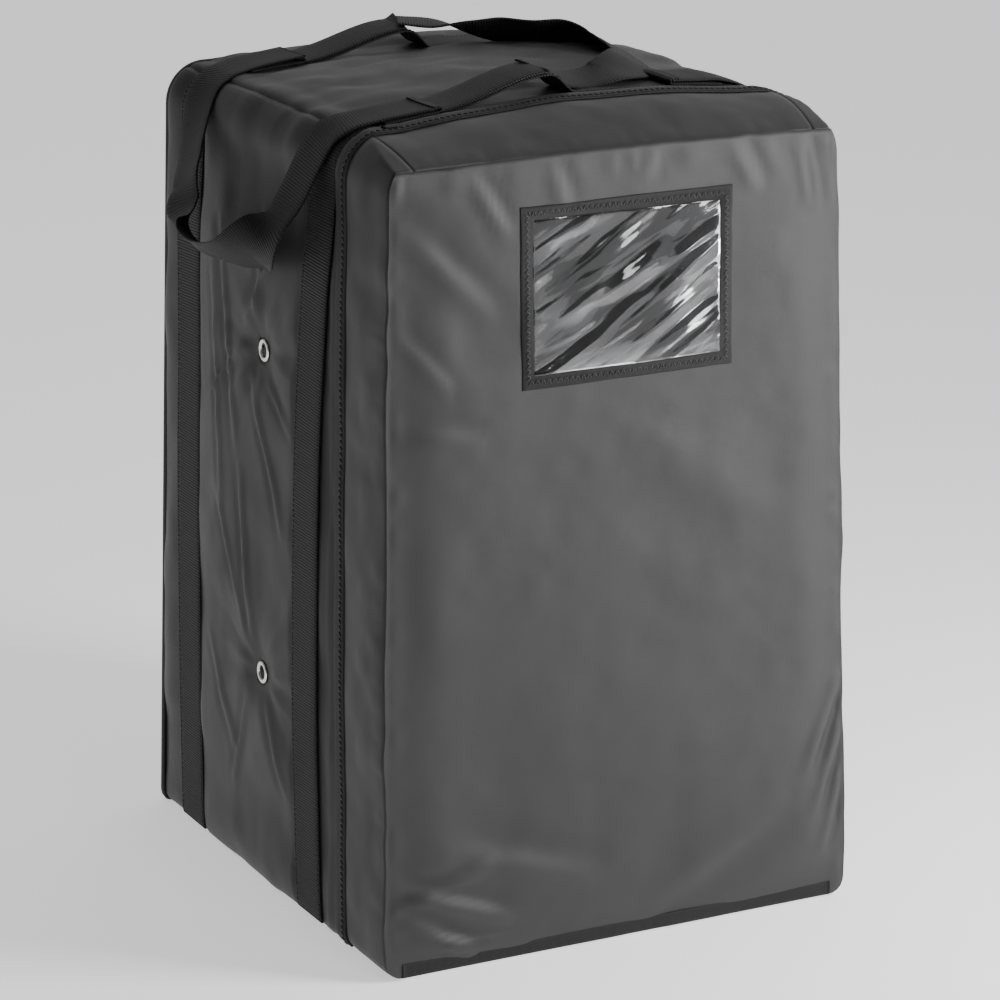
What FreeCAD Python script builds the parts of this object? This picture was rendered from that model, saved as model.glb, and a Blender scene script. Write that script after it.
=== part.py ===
import FreeCAD, Part
import math
import os

# Soft-sided insulated food carrier with a front flap, in millimetres.
# +Z is up and the flap faces -Y. The origin is on the floor, under the middle of the bag.

# Overall sizes, over the flap
width = 406.0            # across the sides at mid height
depth = 450.0            # flap face to back panel at mid height
height = 660.0           # floor to the top panel's highest line
side_lean = 7.5          # each side stands this far out at the floor and in at the top
face_lean = 7.5          # the same for the flap and the back panel
shoulder_r = 36.0        # rounding between a side and the top
foot_r = 14.0            # rounding between a side and the bottom
foot_inner_r = 1.5       # smallest rounding inside the bottom corners
top_seam_share = 0.6     # how far round the shoulder the top seam lies, as a share of its radius
front_drop = 16.0        # fall of the top from the flap's hinge line to its face

# Walls
fabric_t = 1.2           # coated outer fabric
foam_t = 12.0            # closed-cell insulation board
liner_t = 0.8            # wipe-clean liner
base_board_t = 3.0       # stiff board under the liner
base_board_gap = 2.0     # clear edge round the board

# Flap
flap_reach = 89.0        # depth of the flap's gussets, face to rim
flap_floor_gap = 2.0     # flap's bottom edge above the floor
tape_t = 1.2             # each half of the hook and loop closure
tape_w = 40.0            # width of the closure strips
tape_setback = 8.0       # closure strips behind the mouth of the body
tape_end_clear = 15.0    # closure strips stop this far short of the rounded shoulders
running_gap = 0.4        # between the two closure strips, and round the moving flap
mouth_gap = 0.6          # between the flap's liner and the binding on the mouth
binding_t = 0.8          # webbing binding, each side of an edge
binding_w = 20.0         # width of the binding on the flap's rim
mouth_binding_t = 1.4    # binding over the front edge of the walls
bottom_binding_h = 12.0  # binding along the bottom of the flap's face
back_piping_w = 8.0      # bound seam round the back panel
back_piping_t = 1.0      # how far that seam stands out
hinge_tape_w = 7.0       # strip joining the flap's rim to the top panel
hinge_axis_gap = 1.6     # from the hinge line to the strip's sewn edge

# Card window on the flap
window_w = 187.0
window_h = 143.0
window_x = 4.0           # middle of the window, across
window_drop = 122.0      # middle of the window, below the top
window_border = 12.0
window_frame_t = 1.2
window_film_t = 0.5

# Webbing
webbing_w = 48.0
webbing_t = 2.0
strap_front_gap = 0.9    # front strap behind the flap's hinge strip
strap_back_in = 65.0     # middle of the back strap, ahead of the back panel
strap_end_z = 2.0        # the straps are sewn into the bottom seam here

# Handles: a loop of webbing hinged where its folded ends are sewn to the straps
side_fold_in = 54.5      # fold of a side handle, in from where the shoulder starts to round
side_end_l = 48.0        # sewn length of a side handle's end
side_reach = 212.0       # fold to the far end of the loop, over the shoulder
side_flare = math.radians(6.0)
twist_from = 0.45        # share of the reach at which a side handle starts to turn on edge
top_fold_x = -5.0        # where the top handle leaves its sewn ends
top_end_l = 48.0
top_end_t = 8.0          # the top handle's end is folded on itself
top_reach = 150.0
top_tilt = math.radians(40.0)
top_narrowing = 1.7      # above 1 the top handle's legs close in sooner
handle_gap = 0.6         # between a handle and what lies under it
loop_sections = 32       # straight stretches that make up one loop

# Eyelets
eyelet_back_in = 225.0   # eyelets ahead of the back panel
eyelet_floor_up = 188.0  # lower eyelet above the floor
eyelet_top_drop = 200.0  # upper eyelet below the top
eyelet_r = 9.5           # outside of the flange
eyelet_bore_r = 5.8
eyelet_barrel_t = 0.8
eyelet_flange_t = 1.0
eyelet_rim_r = 0.45      # rounding of the flange's rims
eyelet_barrel_l = 5.0
washer_t = 0.8

# Places that follow from the sizes above
face_y = -depth / 2
back_y = depth / 2
rim_y = face_y + flap_reach
door_wall = fabric_t + foam_t + liner_t
body_inset = fabric_t + 2 * tape_t + running_gap
mouth_y = face_y + door_wall + mouth_gap + mouth_binding_t
cavity_inset = body_inset + door_wall
cavity_low = fabric_t + foam_t + base_board_t + liner_t
strap_inset = body_inset - webbing_t
hinge_y = rim_y + face_lean
hinge_z = height - fabric_t / 2
strap_front_y = hinge_y + hinge_axis_gap + hinge_tape_w + strap_front_gap + webbing_w / 2
strap_back_y = back_y - strap_back_in
loop_mid_y = (strap_front_y + strap_back_y) / 2
loop_half = (strap_back_y - strap_front_y) / 2
shoulder_x = width / 2 - side_lean - shoulder_r
side_fold_x = shoulder_x - side_fold_in
eyelet_y = back_y - eyelet_back_in
eyelet_zs = (eyelet_floor_up, height - eyelet_top_drop)
window_z = height - window_drop
far = 2 * (width + depth + height)
spare = 1.0              # how far a cutting shape runs past what it cuts
same = 0.01              # places closer than this are one place

FRONT = -1
BACK = 1
UPRIGHT = 0


def lean(z, most):
    """How far a wall stands out at height z: most at the floor, minus most at the top."""
    return most * (1 - 2 * z / height)


def plane_y(plane, z):
    """Place of a cross plane (y at mid height, way it leans) at height z."""
    return plane[0] + plane[1] * lean(z, face_lean)


def slope_cut(inset):
    """Wedge above the top's falling front part, for a block of this inset."""
    top = height - inset
    fall = front_drop / (hinge_y - face_y - face_lean)
    ahead = depth
    outline = Part.makePolygon([
        FreeCAD.Vector(-far, hinge_y, top),
        FreeCAD.Vector(-far, hinge_y - ahead, top - fall * ahead),
        FreeCAD.Vector(-far, hinge_y - ahead, top + height),
        FreeCAD.Vector(-far, hinge_y, top + height),
        FreeCAD.Vector(-far, hinge_y, top),
    ])
    return Part.Face(outline).extrude(FreeCAD.Vector(2 * far, 0, 0))


def bar(inset, low):
    """The bag's outline, inset at the sides and top and flat at the floor, carried front to back."""
    high = height - inset
    rings = []
    for z in (low, high):
        half = width / 2 + lean(z, side_lean) - inset
        corners = [(-half, -far), (half, -far), (half, far), (-half, far), (-half, -far)]
        rings.append(Part.makePolygon([FreeCAD.Vector(x, y, z) for x, y in corners]))
    solid = Part.makeLoft(rings, True, True)
    for radius, level in ((shoulder_r - inset, high), (max(foot_r - inset, foot_inner_r), low)):
        solid = solid.makeFillet(radius, [e for e in solid.Edges if is_long_edge(e, level)])
    return solid.cut(slope_cut(inset))


def is_long_edge(edge, level):
    """True for an edge that runs front to back at this height."""
    a = edge.Vertexes[0].Point
    b = edge.Vertexes[-1].Point
    return max(abs(a.z - level), abs(b.z - level), abs(a.x - b.x)) < same


def slab(x0, x1, z0, z1, first, last):
    """Flat piece between two cross planes, bounded across and up by upright cuts."""
    rings = []
    for z in (z0, z1):
        y0 = plane_y(first, z)
        y1 = plane_y(last, z)
        corners = [(x0, y0), (x1, y0), (x1, y1), (x0, y1), (x0, y0)]
        rings.append(Part.makePolygon([FreeCAD.Vector(x, y, z) for x, y in corners]))
    return Part.makeLoft(rings, True, True)


def block(inset, low, first, last):
    """Slice of the bar between two cross planes."""
    return bar(inset, low).common(slab(-far, far, low - spare, height + spare, first, last))


def tube(outer_inset, inner_inset, outer_low, inner_low, first, last):
    """Wall layer round the bag, open at both ends, between two cross planes."""
    shell = bar(outer_inset, outer_low).cut(bar(inner_inset, inner_low))
    return shell.common(slab(-far, far, outer_low - spare, height + spare, first, last))


def box(x0, x1, y0, y1, z0, z1):
    size = (x1 - x0, y1 - y0, z1 - z0)
    return Part.makeBox(*size, FreeCAD.Vector(x0, y0, z0))


def four_panels(shell, floor_top):
    """Cuts a tube-shaped wall layer into its top, bottom, left and right panels."""
    top_half = width / 2 + lean(height, side_lean) - shoulder_r * top_seam_share
    roof = shell.common(box(-top_half, top_half, -far, far, height / 2, far))
    floor = shell.common(box(-far, far, -far, far, floor_top - far, floor_top))
    rest = shell.cut(roof).cut(floor)
    left = rest.common(box(-far, 0, -far, far, -far, far))
    right = rest.common(box(0, far, -far, far, -far, far))
    return {"top": roof, "bottom": floor, "left": left, "right": right}


def eyelet_place(side, z):
    """Turns a piece made along +Z so that it lies on a side wall, facing out."""
    half = width / 2 + lean(z, side_lean) - body_inset
    tip = math.degrees(math.atan2(2 * side_lean, height))
    rotation = FreeCAD.Rotation(FreeCAD.Vector(0, 1, 0), side * (90 - tip))
    return FreeCAD.Placement(FreeCAD.Vector(side * half, eyelet_y, z), rotation)


def ring(outer_r, inner_r, z0, z1):
    tall = z1 - z0
    outer = Part.makeCylinder(outer_r, tall, FreeCAD.Vector(0, 0, z0))
    return outer.cut(Part.makeCylinder(inner_r, tall, FreeCAD.Vector(0, 0, z0)))


def eyelet():
    """Flange with a rounded rim, and the barrel that goes through the fabric."""
    flange = ring(eyelet_r, eyelet_bore_r, 0, eyelet_flange_t)
    rims = [e for e in flange.Edges if abs(e.Vertexes[0].Point.z - eyelet_flange_t) < same]
    flange = flange.makeFillet(eyelet_rim_r, rims)
    barrel = ring(eyelet_bore_r + eyelet_barrel_t, eyelet_bore_r, -eyelet_barrel_l, 0)
    return flange.fuse(barrel).removeSplitter()


def eyelet_washer():
    inner_r = eyelet_bore_r + eyelet_barrel_t
    return ring(eyelet_r, inner_r, -fabric_t - washer_t, -fabric_t)


def eyelet_cut():
    """What an eyelet takes out of the wall: the vent through it and the washer's recess."""
    vent_r = eyelet_bore_r + eyelet_barrel_t
    deepest = -door_wall - eyelet_r
    vent = Part.makeCylinder(vent_r, eyelet_r - deepest, FreeCAD.Vector(0, 0, deepest))
    recess = ring(eyelet_r, vent_r, -fabric_t - washer_t, -fabric_t)
    return vent.fuse(recess)


def set_of(make):
    """One piece at each eyelet, keyed by side."""
    found = {}
    for name, side in (("left", -1), ("right", 1)):
        group = []
        for z in eyelet_zs:
            piece = make()
            piece.Placement = eyelet_place(side, z)
            group.append(piece)
        found[name] = Part.makeCompound(group)
    return found


def loop_solid(points, across):
    """Flat webbing carried along points, with its width along the matching across vectors."""
    last = len(points) - 1
    sections = []
    for i, (point, wide) in enumerate(zip(points, across)):
        along = points[min(i + 1, last)] - points[max(i - 1, 0)]
        up = along.cross(wide)
        up.normalize()
        half_w = FreeCAD.Vector(wide) * (webbing_w / 2)
        half_t = up * (webbing_t / 2)
        a = point - half_w - half_t
        corners = [a, point + half_w - half_t, point + half_w + half_t, point - half_w + half_t, a]
        sections.append(Part.makePolygon(corners))
    return Part.makeLoft(sections, True, True)


def smooth(value):
    value = min(max(value, 0.0), 1.0)
    return value * value * (3 - 2 * value)


def side_loop(side):
    """A flat U of webbing wrapped over the shoulder; its far end turns on edge and stands off the side."""
    lift = webbing_t + handle_gap + webbing_t / 2
    centre_z = height - shoulder_r
    arc_r = shoulder_r - strap_inset + lift
    flat_l = shoulder_x - side_fold_x
    turn = math.pi / 2 - side_flare
    points = []
    across = []
    for i in range(loop_sections + 1):
        a = math.pi * i / loop_sections
        s = side_reach * math.sin(a)
        angle = min(max((s - flat_l) / arc_r, 0.0), turn)
        tail = max(s - flat_l - arc_r * turn, 0.0)
        x = shoulder_x + arc_r * math.sin(angle) if s > flat_l else side_fold_x + s
        x += tail * math.cos(angle)
        z = centre_z + arc_r * math.cos(angle) - tail * math.sin(angle)
        points.append(FreeCAD.Vector(side * x, loop_mid_y - loop_half * math.cos(a), z))
        down = FreeCAD.Vector(side * math.cos(angle), 0, -math.sin(angle))
        out = FreeCAD.Vector(side * math.sin(angle), 0, math.cos(angle))
        flat = down * (loop_half * math.sin(a)) + FreeCAD.Vector(0, -side_reach * math.cos(a), 0)
        flat.normalize()
        edge_on = math.pi / 2 * smooth((math.sin(a) - twist_from) / (1 - twist_from))
        across.append(flat * math.cos(edge_on) + out * math.sin(edge_on))
        points[-1] += out * (webbing_w / 2 * math.sin(edge_on))
    return loop_solid(points, across)


def top_loop():
    """A U of webbing lying to one side on the top, its inner edge lifted as it turns."""
    low = height - strap_inset + top_end_t + handle_gap + webbing_t / 2
    points = []
    across = []
    for i in range(loop_sections + 1):
        a = math.pi * i / loop_sections
        reach = math.sin(a) ** top_narrowing
        tilt = top_tilt * smooth(math.sin(a))
        x = top_fold_x + top_reach * reach
        z = low + webbing_w / 2 * math.sin(tilt)
        points.append(FreeCAD.Vector(x, loop_mid_y - loop_half * math.cos(a), z))
        flat = FreeCAD.Vector(loop_half * math.sin(a), -top_reach * math.cos(a), 0)
        flat.normalize()
        across.append(flat * math.cos(tilt) - FreeCAD.Vector(0, 0, math.sin(tilt)))
    return loop_solid(points, across)


def sewn_ends(x0, x1, thick):
    """The two ends of a handle, sewn down on the straps."""
    z0 = height - strap_inset
    half = webbing_w / 2
    return Part.makeCompound([
        box(x0, x1, y - half, y + half, z0, z0 + thick) for y in (strap_front_y, strap_back_y)])


def strap(y):
    """Webbing up one side, over the top and down the other, sewn in at the bottom seam."""
    first = (y - webbing_w / 2, UPRIGHT)
    last = (y + webbing_w / 2, UPRIGHT)
    band = tube(strap_inset, body_inset, -height, -2 * height, first, last)
    return band.common(box(-far, far, -far, far, strap_end_z, far))


def layer(name, outer_inset, inner_inset, outer_low, inner_low, back_outer, back_inner, nodes):
    """One layer of the body's walls: four panels round the cavity and one across the back."""
    first = (mouth_y, FRONT)
    last = (back_inner, BACK)
    walls = tube(outer_inset, inner_inset, outer_low, inner_low, first, last)
    for side, panel in four_panels(walls, inner_low).items():
        nodes[f"{name}_{side}"] = panel
    nodes[f"{name}_back"] = block(outer_inset, outer_low, (back_inner, BACK), (back_outer, BACK))


def body_nodes(nodes):
    foam_inset = body_inset + fabric_t
    liner_inset = foam_inset + foam_t
    foam_low = fabric_t
    liner_low = fabric_t + foam_t
    foam_back = back_y - fabric_t
    liner_back = foam_back - foam_t
    board_top = liner_low + base_board_t
    layer("outer", body_inset, foam_inset, 0.0, foam_low, back_y, foam_back, nodes)
    layer("foam", foam_inset, liner_inset, foam_low, liner_low, foam_back, liner_back, nodes)
    layer("liner", liner_inset, cavity_inset, board_top, cavity_low, liner_back,
          liner_back - liner_t, nodes)
    board_half = width / 2 - cavity_inset - base_board_gap
    nodes["base_board"] = box(-board_half, board_half, mouth_y + base_board_gap,
                              liner_back - base_board_gap, liner_low, board_top)
    for name, cut in set_of(eyelet_cut).items():
        for wall in ("outer", "foam", "liner"):
            nodes[f"{wall}_{name}"] = nodes[f"{wall}_{name}"].cut(cut)
    for name, group in set_of(eyelet).items():
        nodes[f"eyelets_{name}"] = group
    for name, group in set_of(eyelet_washer).items():
        nodes[f"eyelet_washers_{name}"] = group

    nodes["mouth_binding"] = tube(body_inset, cavity_inset, 0.0, cavity_low,
                                  (mouth_y - mouth_binding_t, FRONT), (mouth_y, FRONT))
    piping = tube(body_inset - back_piping_t, body_inset, -height, -2 * height,
                  (back_y - back_piping_w, BACK), (back_y, BACK))
    nodes["back_piping"] = piping.common(box(-far, far, -far, far, 0, far))
    nodes["strap_front"] = strap(strap_front_y)
    nodes["strap_back"] = strap(strap_back_y)
    tape_y = hinge_y + hinge_axis_gap
    top = height - body_inset
    nodes["hinge_tape"] = box(-shoulder_x, shoulder_x, tape_y, tape_y + hinge_tape_w, top, top + fabric_t)

    side_far = side_fold_x + side_end_l
    nodes["handle_ends_left"] = sewn_ends(-side_far, -side_fold_x, webbing_t)
    nodes["handle_ends_right"] = sewn_ends(side_fold_x, side_far, webbing_t)
    nodes["handle_ends_top"] = sewn_ends(top_fold_x - top_end_l, top_fold_x, top_end_t)


def closure_nodes(nodes):
    """Loop strips on the body and hook strips inside the flap's gussets."""
    first = (mouth_y + tape_setback, FRONT)
    last = (mouth_y + tape_setback + tape_w, FRONT)
    middle = width / 2 - shoulder_r - tape_end_clear
    clear_z = height - shoulder_r - front_drop - tape_end_clear
    low = foot_r + flap_floor_gap
    strips = (("loop", body_inset - tape_t, body_inset), ("hook", fabric_t, fabric_t + tape_t))
    for name, outer_inset, inner_inset in strips:
        band = tube(outer_inset, inner_inset, -height, -2 * height, first, last)
        nodes[f"{name}_strip_top"] = band.common(box(-middle, middle, -far, far, clear_z, far))
        nodes[f"{name}_strip_left"] = band.common(box(-far, 0, -far, far, low, clear_z))
        nodes[f"{name}_strip_right"] = band.common(box(0, far, -far, far, low, clear_z))


def door_nodes(nodes):
    low = flap_floor_gap
    foam_y = face_y + fabric_t
    liner_y = foam_y + foam_t
    nodes["door_face"] = block(0.0, low, (face_y, FRONT), (foam_y, FRONT))
    nodes["door_foam"] = block(fabric_t, low, (foam_y, FRONT), (liner_y, FRONT))
    nodes["door_liner"] = block(fabric_t, low, (liner_y, FRONT), (liner_y + liner_t, FRONT))
    gusset = tube(0.0, fabric_t, low, -height, (foam_y, FRONT), (rim_y, FRONT))
    panels = four_panels(gusset, low)
    for side in ("left", "right", "top"):
        nodes[f"door_gusset_{side}"] = panels[side]

    rim = tube(-binding_t, 0.0, -height, -2 * height, (rim_y - binding_w, FRONT), (rim_y, FRONT))
    nodes["door_rim_binding"] = rim.common(box(-far, far, -far, far, low, far))
    half = width / 2 + lean(0, side_lean) - foot_r
    nodes["door_bottom_binding"] = slab(
        -half, half, low, low + bottom_binding_h, (face_y - binding_t, FRONT), (face_y, FRONT))

    x0 = window_x - window_w / 2
    x1 = window_x + window_w / 2
    z0 = window_z - window_h / 2
    z1 = window_z + window_h / 2
    b = window_border
    frame = slab(x0, x1, z0, z1, (face_y - window_frame_t, FRONT), (face_y, FRONT))
    hole = slab(x0 + b, x1 - b, z0 + b, z1 - b, (face_y - 2 * window_frame_t, FRONT), (face_y, FRONT))
    nodes["window_frame"] = frame.cut(hole)
    nodes["window_film"] = slab(x0 + b, x1 - b, z0 + b, z1 - b,
                                (face_y - window_film_t, FRONT), (face_y, FRONT))


def main():
    nodes = {}
    body_nodes(nodes)
    closure_nodes(nodes)
    door_nodes(nodes)
    nodes["handle_left"] = side_loop(-1)
    nodes["handle_right"] = side_loop(1)
    nodes["handle_top"] = top_loop()
    os.makedirs("parts", exist_ok=True)
    for name, shape in nodes.items():
        shape.exportStep(f"parts/{name}.step")
        bounds = shape.BoundBox
        print(f"{name:24s} solids {len(shape.Solids)} valid {shape.isValid()} volume {shape.Volume:10.0f}"
              f" x {bounds.XMin:.1f}..{bounds.XMax:.1f} y {bounds.YMin:.1f}..{bounds.YMax:.1f}"
              f" z {bounds.ZMin:.1f}..{bounds.ZMax:.1f}")
    print("hinge", hinge_y, hinge_z)


main()
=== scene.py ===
import math

import bmesh
import bpy
import numpy as np
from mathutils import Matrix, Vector


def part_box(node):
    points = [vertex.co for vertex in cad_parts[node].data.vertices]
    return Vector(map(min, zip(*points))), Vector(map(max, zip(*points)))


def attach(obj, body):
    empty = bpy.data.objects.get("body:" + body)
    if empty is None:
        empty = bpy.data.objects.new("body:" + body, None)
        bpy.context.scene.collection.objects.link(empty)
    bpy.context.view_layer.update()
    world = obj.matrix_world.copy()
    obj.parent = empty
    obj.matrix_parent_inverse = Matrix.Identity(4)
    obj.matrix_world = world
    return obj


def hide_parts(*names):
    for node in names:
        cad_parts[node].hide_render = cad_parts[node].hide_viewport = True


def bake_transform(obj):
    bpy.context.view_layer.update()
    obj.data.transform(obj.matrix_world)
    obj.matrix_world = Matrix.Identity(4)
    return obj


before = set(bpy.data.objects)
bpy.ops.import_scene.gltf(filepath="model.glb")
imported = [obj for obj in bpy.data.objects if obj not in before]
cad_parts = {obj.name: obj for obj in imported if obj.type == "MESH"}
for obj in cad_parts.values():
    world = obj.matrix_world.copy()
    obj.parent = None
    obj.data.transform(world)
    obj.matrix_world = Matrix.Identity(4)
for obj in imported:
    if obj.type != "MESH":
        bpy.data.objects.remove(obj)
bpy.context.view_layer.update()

# Soft-sided insulated food carrier with a front flap. Lengths are in metres.
# A place on the walls is (s, y): s runs round the bag's section from the middle of the top, negative to
# the left and positive to the right, and y runs from the flap to the back.

MM = 0.001
FRONT, BACK = -1, 1  # the two ways that a cross plane leans
FORWARD, BACKWARD, UPWARD = (0.0, -1.0, 0.0), (0.0, 1.0, 0.0), (0.0, 0.0, 1.0)

# Sizes that follow the CAD part
side_lean = 7.5 * MM
face_lean = 7.5 * MM
shoulder_r = 36 * MM
foot_r = 14 * MM
body_inset = 4 * MM
cavity_inset = 18 * MM
front_drop = 16 * MM
seam_past_flat = 15 * MM
webbing_t = 2 * MM
strap_gap = 0.35 * MM
cloth_t = 1.2 * MM
liner_t = 0.8 * MM
rim_fold = 9.5 * MM
floor_gap = 0.4 * MM


def span(node, axis):
    """Lowest and highest place of a CAD node along one axis."""
    low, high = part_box(node)
    return low[axis], high[axis]


height = span("door_gusset_top", 2)[1]
width = 2 * (span("door_gusset_right", 0)[1] - side_lean)
flap_low = span("door_face", 2)[0]
face_y = span("door_face", 1)[0] + face_lean
rim_y = span("door_rim_binding", 1)[1] - face_lean
back_y = span("outer_back", 1)[1] - face_lean
mouth_y = span("outer_top", 1)[0] + 0.5 * MM - face_lean
hinge_y = rim_y + face_lean
strap_ys = [sum(span(node, 1)) / 2 for node in ("strap_front", "strap_back")]
webbing_w = span("strap_front", 1)[1] - span("strap_front", 1)[0]
eyelet_r = 9.5 * MM
eyelet_zs = (span("eyelets_left", 2)[0] + eyelet_r, span("eyelets_left", 2)[1] - eyelet_r)
eyelet_y = sum(span("eyelets_left", 1)) / 2


# ---------------------------------------------------------------- camera, floor and lights

def add_camera():
    """A long lens a little above the bag, turned to see its flap and its left side."""
    camera = bpy.data.cameras.new("camera")
    camera.lens = 147.57
    camera.sensor_width = 36
    spot = bpy.data.objects.new("camera", camera)
    turn = math.radians(27.10)
    tilt = math.radians(16.32)
    ahead = Vector((math.sin(turn) * math.cos(tilt), math.cos(turn) * math.cos(tilt), -math.sin(tilt)))
    spot.location = (-1.4908, -2.9319, 1.2707)
    spot.rotation_mode = "QUATERNION"
    spot.rotation_quaternion = ahead.to_track_quat("-Z", "Y")
    bpy.context.scene.collection.objects.link(spot)
    bpy.context.scene.camera = spot


def add_softbox(name, place, aim, size, watts):
    """A rectangular soft light at a place, turned to what it lights."""
    light = bpy.data.lights.new(name, "AREA")
    light.shape = "RECTANGLE"
    light.size, light.size_y = size
    light.energy = watts
    spot = bpy.data.objects.new(name, light)
    spot.location = place
    spot.rotation_mode = "QUATERNION"
    spot.rotation_quaternion = (Vector(aim) - Vector(place)).to_track_quat("-Z", "Y")
    bpy.context.scene.collection.objects.link(spot)


def add_lights():
    """Four soft lights, and a world that is brighter to the right and behind."""
    middle = (0, 0, height / 2)
    add_softbox("light_above", (0.7, 1.1, 2.4), (0, 0, height), (1.6, 1.0), 2.5)
    add_softbox("light_front_right", (1.0, -1.05, 0.8), (0.08, face_y, height * 0.5), (0.5, 1.2), 38)
    add_softbox("light_front", (0.1, -2.3, 1.25), (0, face_y, height * 0.7), (0.5, 0.5), 9)
    add_softbox("light_left", (-2.6, 0.6, 1.5), middle, (0.5, 1.2), 1.5)
    world = bpy.data.worlds.new("studio")
    world.use_nodes = True
    tree = world.node_tree
    way = tree.nodes.new("ShaderNodeTexCoord")
    facing = tree.nodes.new("ShaderNodeVectorMath")
    facing.operation = "DOT_PRODUCT"
    facing.inputs[1].default_value = (0.75, 0.66, 0.0)
    ramp = tree.nodes.new("ShaderNodeMapRange")
    ramp.inputs["From Min"].default_value = -0.35
    ramp.inputs["From Max"].default_value = 0.75
    ramp.inputs["To Min"].default_value = 0.10
    ramp.inputs["To Max"].default_value = 0.60
    tree.links.new(way.outputs["Generated"], facing.inputs[0])
    tree.links.new(facing.outputs["Value"], ramp.inputs["Value"])
    tree.links.new(ramp.outputs["Result"], tree.nodes["Background"].inputs["Strength"])
    tree.nodes["Background"].inputs["Color"].default_value = (1, 1, 1, 1)
    bpy.context.scene.world = world


def make_floor():
    """The studio floor, which isn't part of the bag."""
    x = np.linspace(-9, 9, 3)[:, None]
    y = np.linspace(-9, 14, 3)[None, :]
    points = np.stack(np.broadcast_arrays(x, y, -0.2 * MM), -1)
    grid_piece("floor", points, "floor", None)


# ---------------------------------------------------------------- finishes

class Finish:
    """A procedural material under construction: its nodes, and short ways to add and join them."""

    def __init__(self, name, colour, roughness):
        self.material = bpy.data.materials.new(name)
        self.material.use_nodes = True
        self.tree = self.material.node_tree
        self.shader = self.tree.nodes["Principled BSDF"]
        self.set("Base Color", (*colour, 1))
        self.set("Roughness", roughness)
        self.uv = self.add("ShaderNodeUVMap")
        self.uv.uv_map = "cloth"

    def set(self, socket, value):
        self.shader.inputs[socket].default_value = value

    def add(self, kind, values=None, **settings):
        node = self.tree.nodes.new(kind)
        for key, value in settings.items():
            setattr(node, key, value)
        for key, value in (values or {}).items():
            node.inputs[key].default_value = value
        return node

    def join(self, source, target):
        self.tree.links.new(source, target)

    def place(self, scale=(1, 1, 1), turn=0.0, own_uv=True):
        """Coordinates in metres times scale, from the piece's own UV map or from its object."""
        mapping = self.add("ShaderNodeMapping", {"Scale": scale, "Rotation": (0, 0, turn)})
        source = self.uv.outputs["UV"] if own_uv else self.add("ShaderNodeTexCoord").outputs["Object"]
        self.join(source, mapping.inputs["Vector"])
        return mapping.outputs["Vector"]

    def noise(self, vector, scale, detail=3.0, roughness=0.55):
        node = self.add("ShaderNodeTexNoise", {"Scale": scale, "Detail": detail, "Roughness": roughness})
        self.join(vector, node.inputs["Vector"])
        return node.outputs["Fac"]

    def waves(self, vector, direction, distortion=0.0):
        """Evenly spaced ridges, one for each unit along the direction."""
        node = self.add("ShaderNodeTexWave", {"Scale": 0.3142, "Distortion": distortion, "Detail": 0.0},
                        wave_type="BANDS", bands_direction=direction, wave_profile="SIN")
        self.join(vector, node.inputs["Vector"])
        return node.outputs["Fac"]

    def maths(self, operation, a, b):
        node = self.add("ShaderNodeMath", operation=operation)
        for value, socket in ((a, node.inputs[0]), (b, node.inputs[1])):
            if isinstance(value, (int, float)):
                socket.default_value = value
            else:
                self.join(value, socket)
        return node.outputs["Value"]

    def scaled(self, value, low, high):
        """A value from 0 to 1 carried to the range from low to high."""
        node = self.add("ShaderNodeMapRange", {"To Min": low, "To Max": high})
        self.join(value, node.inputs["Value"])
        return node.outputs["Result"]

    def colours(self, factor, dark, light):
        node = self.add("ShaderNodeMix", data_type="RGBA")
        node.inputs["A"].default_value = (*dark, 1)
        node.inputs["B"].default_value = (*light, 1)
        self.join(factor, node.inputs["Factor"])
        self.join(node.outputs["Result"], self.shader.inputs["Base Color"])

    def roughness(self, value):
        self.join(value, self.shader.inputs["Roughness"])

    def bump(self, heights):
        """Stacks bumps, each a (height, distance in metres, strength)."""
        normal = None
        for value, distance, strength in heights:
            node = self.add("ShaderNodeBump", {"Distance": distance, "Strength": strength})
            self.join(value, node.inputs["Height"])
            if normal is not None:
                self.join(normal, node.inputs["Normal"])
            normal = node.outputs["Normal"]
        self.join(normal, self.shader.inputs["Normal"])


def grey(value):
    """A grey with the slight blue of black dye."""
    return (value, value, value * 1.02)


def coated_nylon():
    """Charcoal packcloth: a fine plain weave under a soft coating, lightly mottled by handling."""
    f = Finish("coated_nylon", grey(0.03), 0.5)
    threads = f.place((1500, 1500, 1500))
    warp = f.waves(threads, "X")
    weft = f.waves(threads, "Y")
    weave = f.maths("MAXIMUM", warp, weft)
    mottle = f.noise(f.place(own_uv=False), 14.0, 5.0)
    crush = f.noise(f.place(own_uv=False), 55.0, 6.0, 0.62)
    f.colours(f.maths("MULTIPLY", mottle, weave), grey(0.018), grey(0.034))
    f.roughness(f.scaled(mottle, 0.40, 0.60))
    f.bump([(crush, 1.2 * MM, 0.22), (weave, 0.12 * MM, 0.45)])
    f.set("Specular IOR Level", 0.32)
    f.set("Sheen Weight", 0.04)
    f.set("Sheen Roughness", 0.45)
    return f.material


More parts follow.
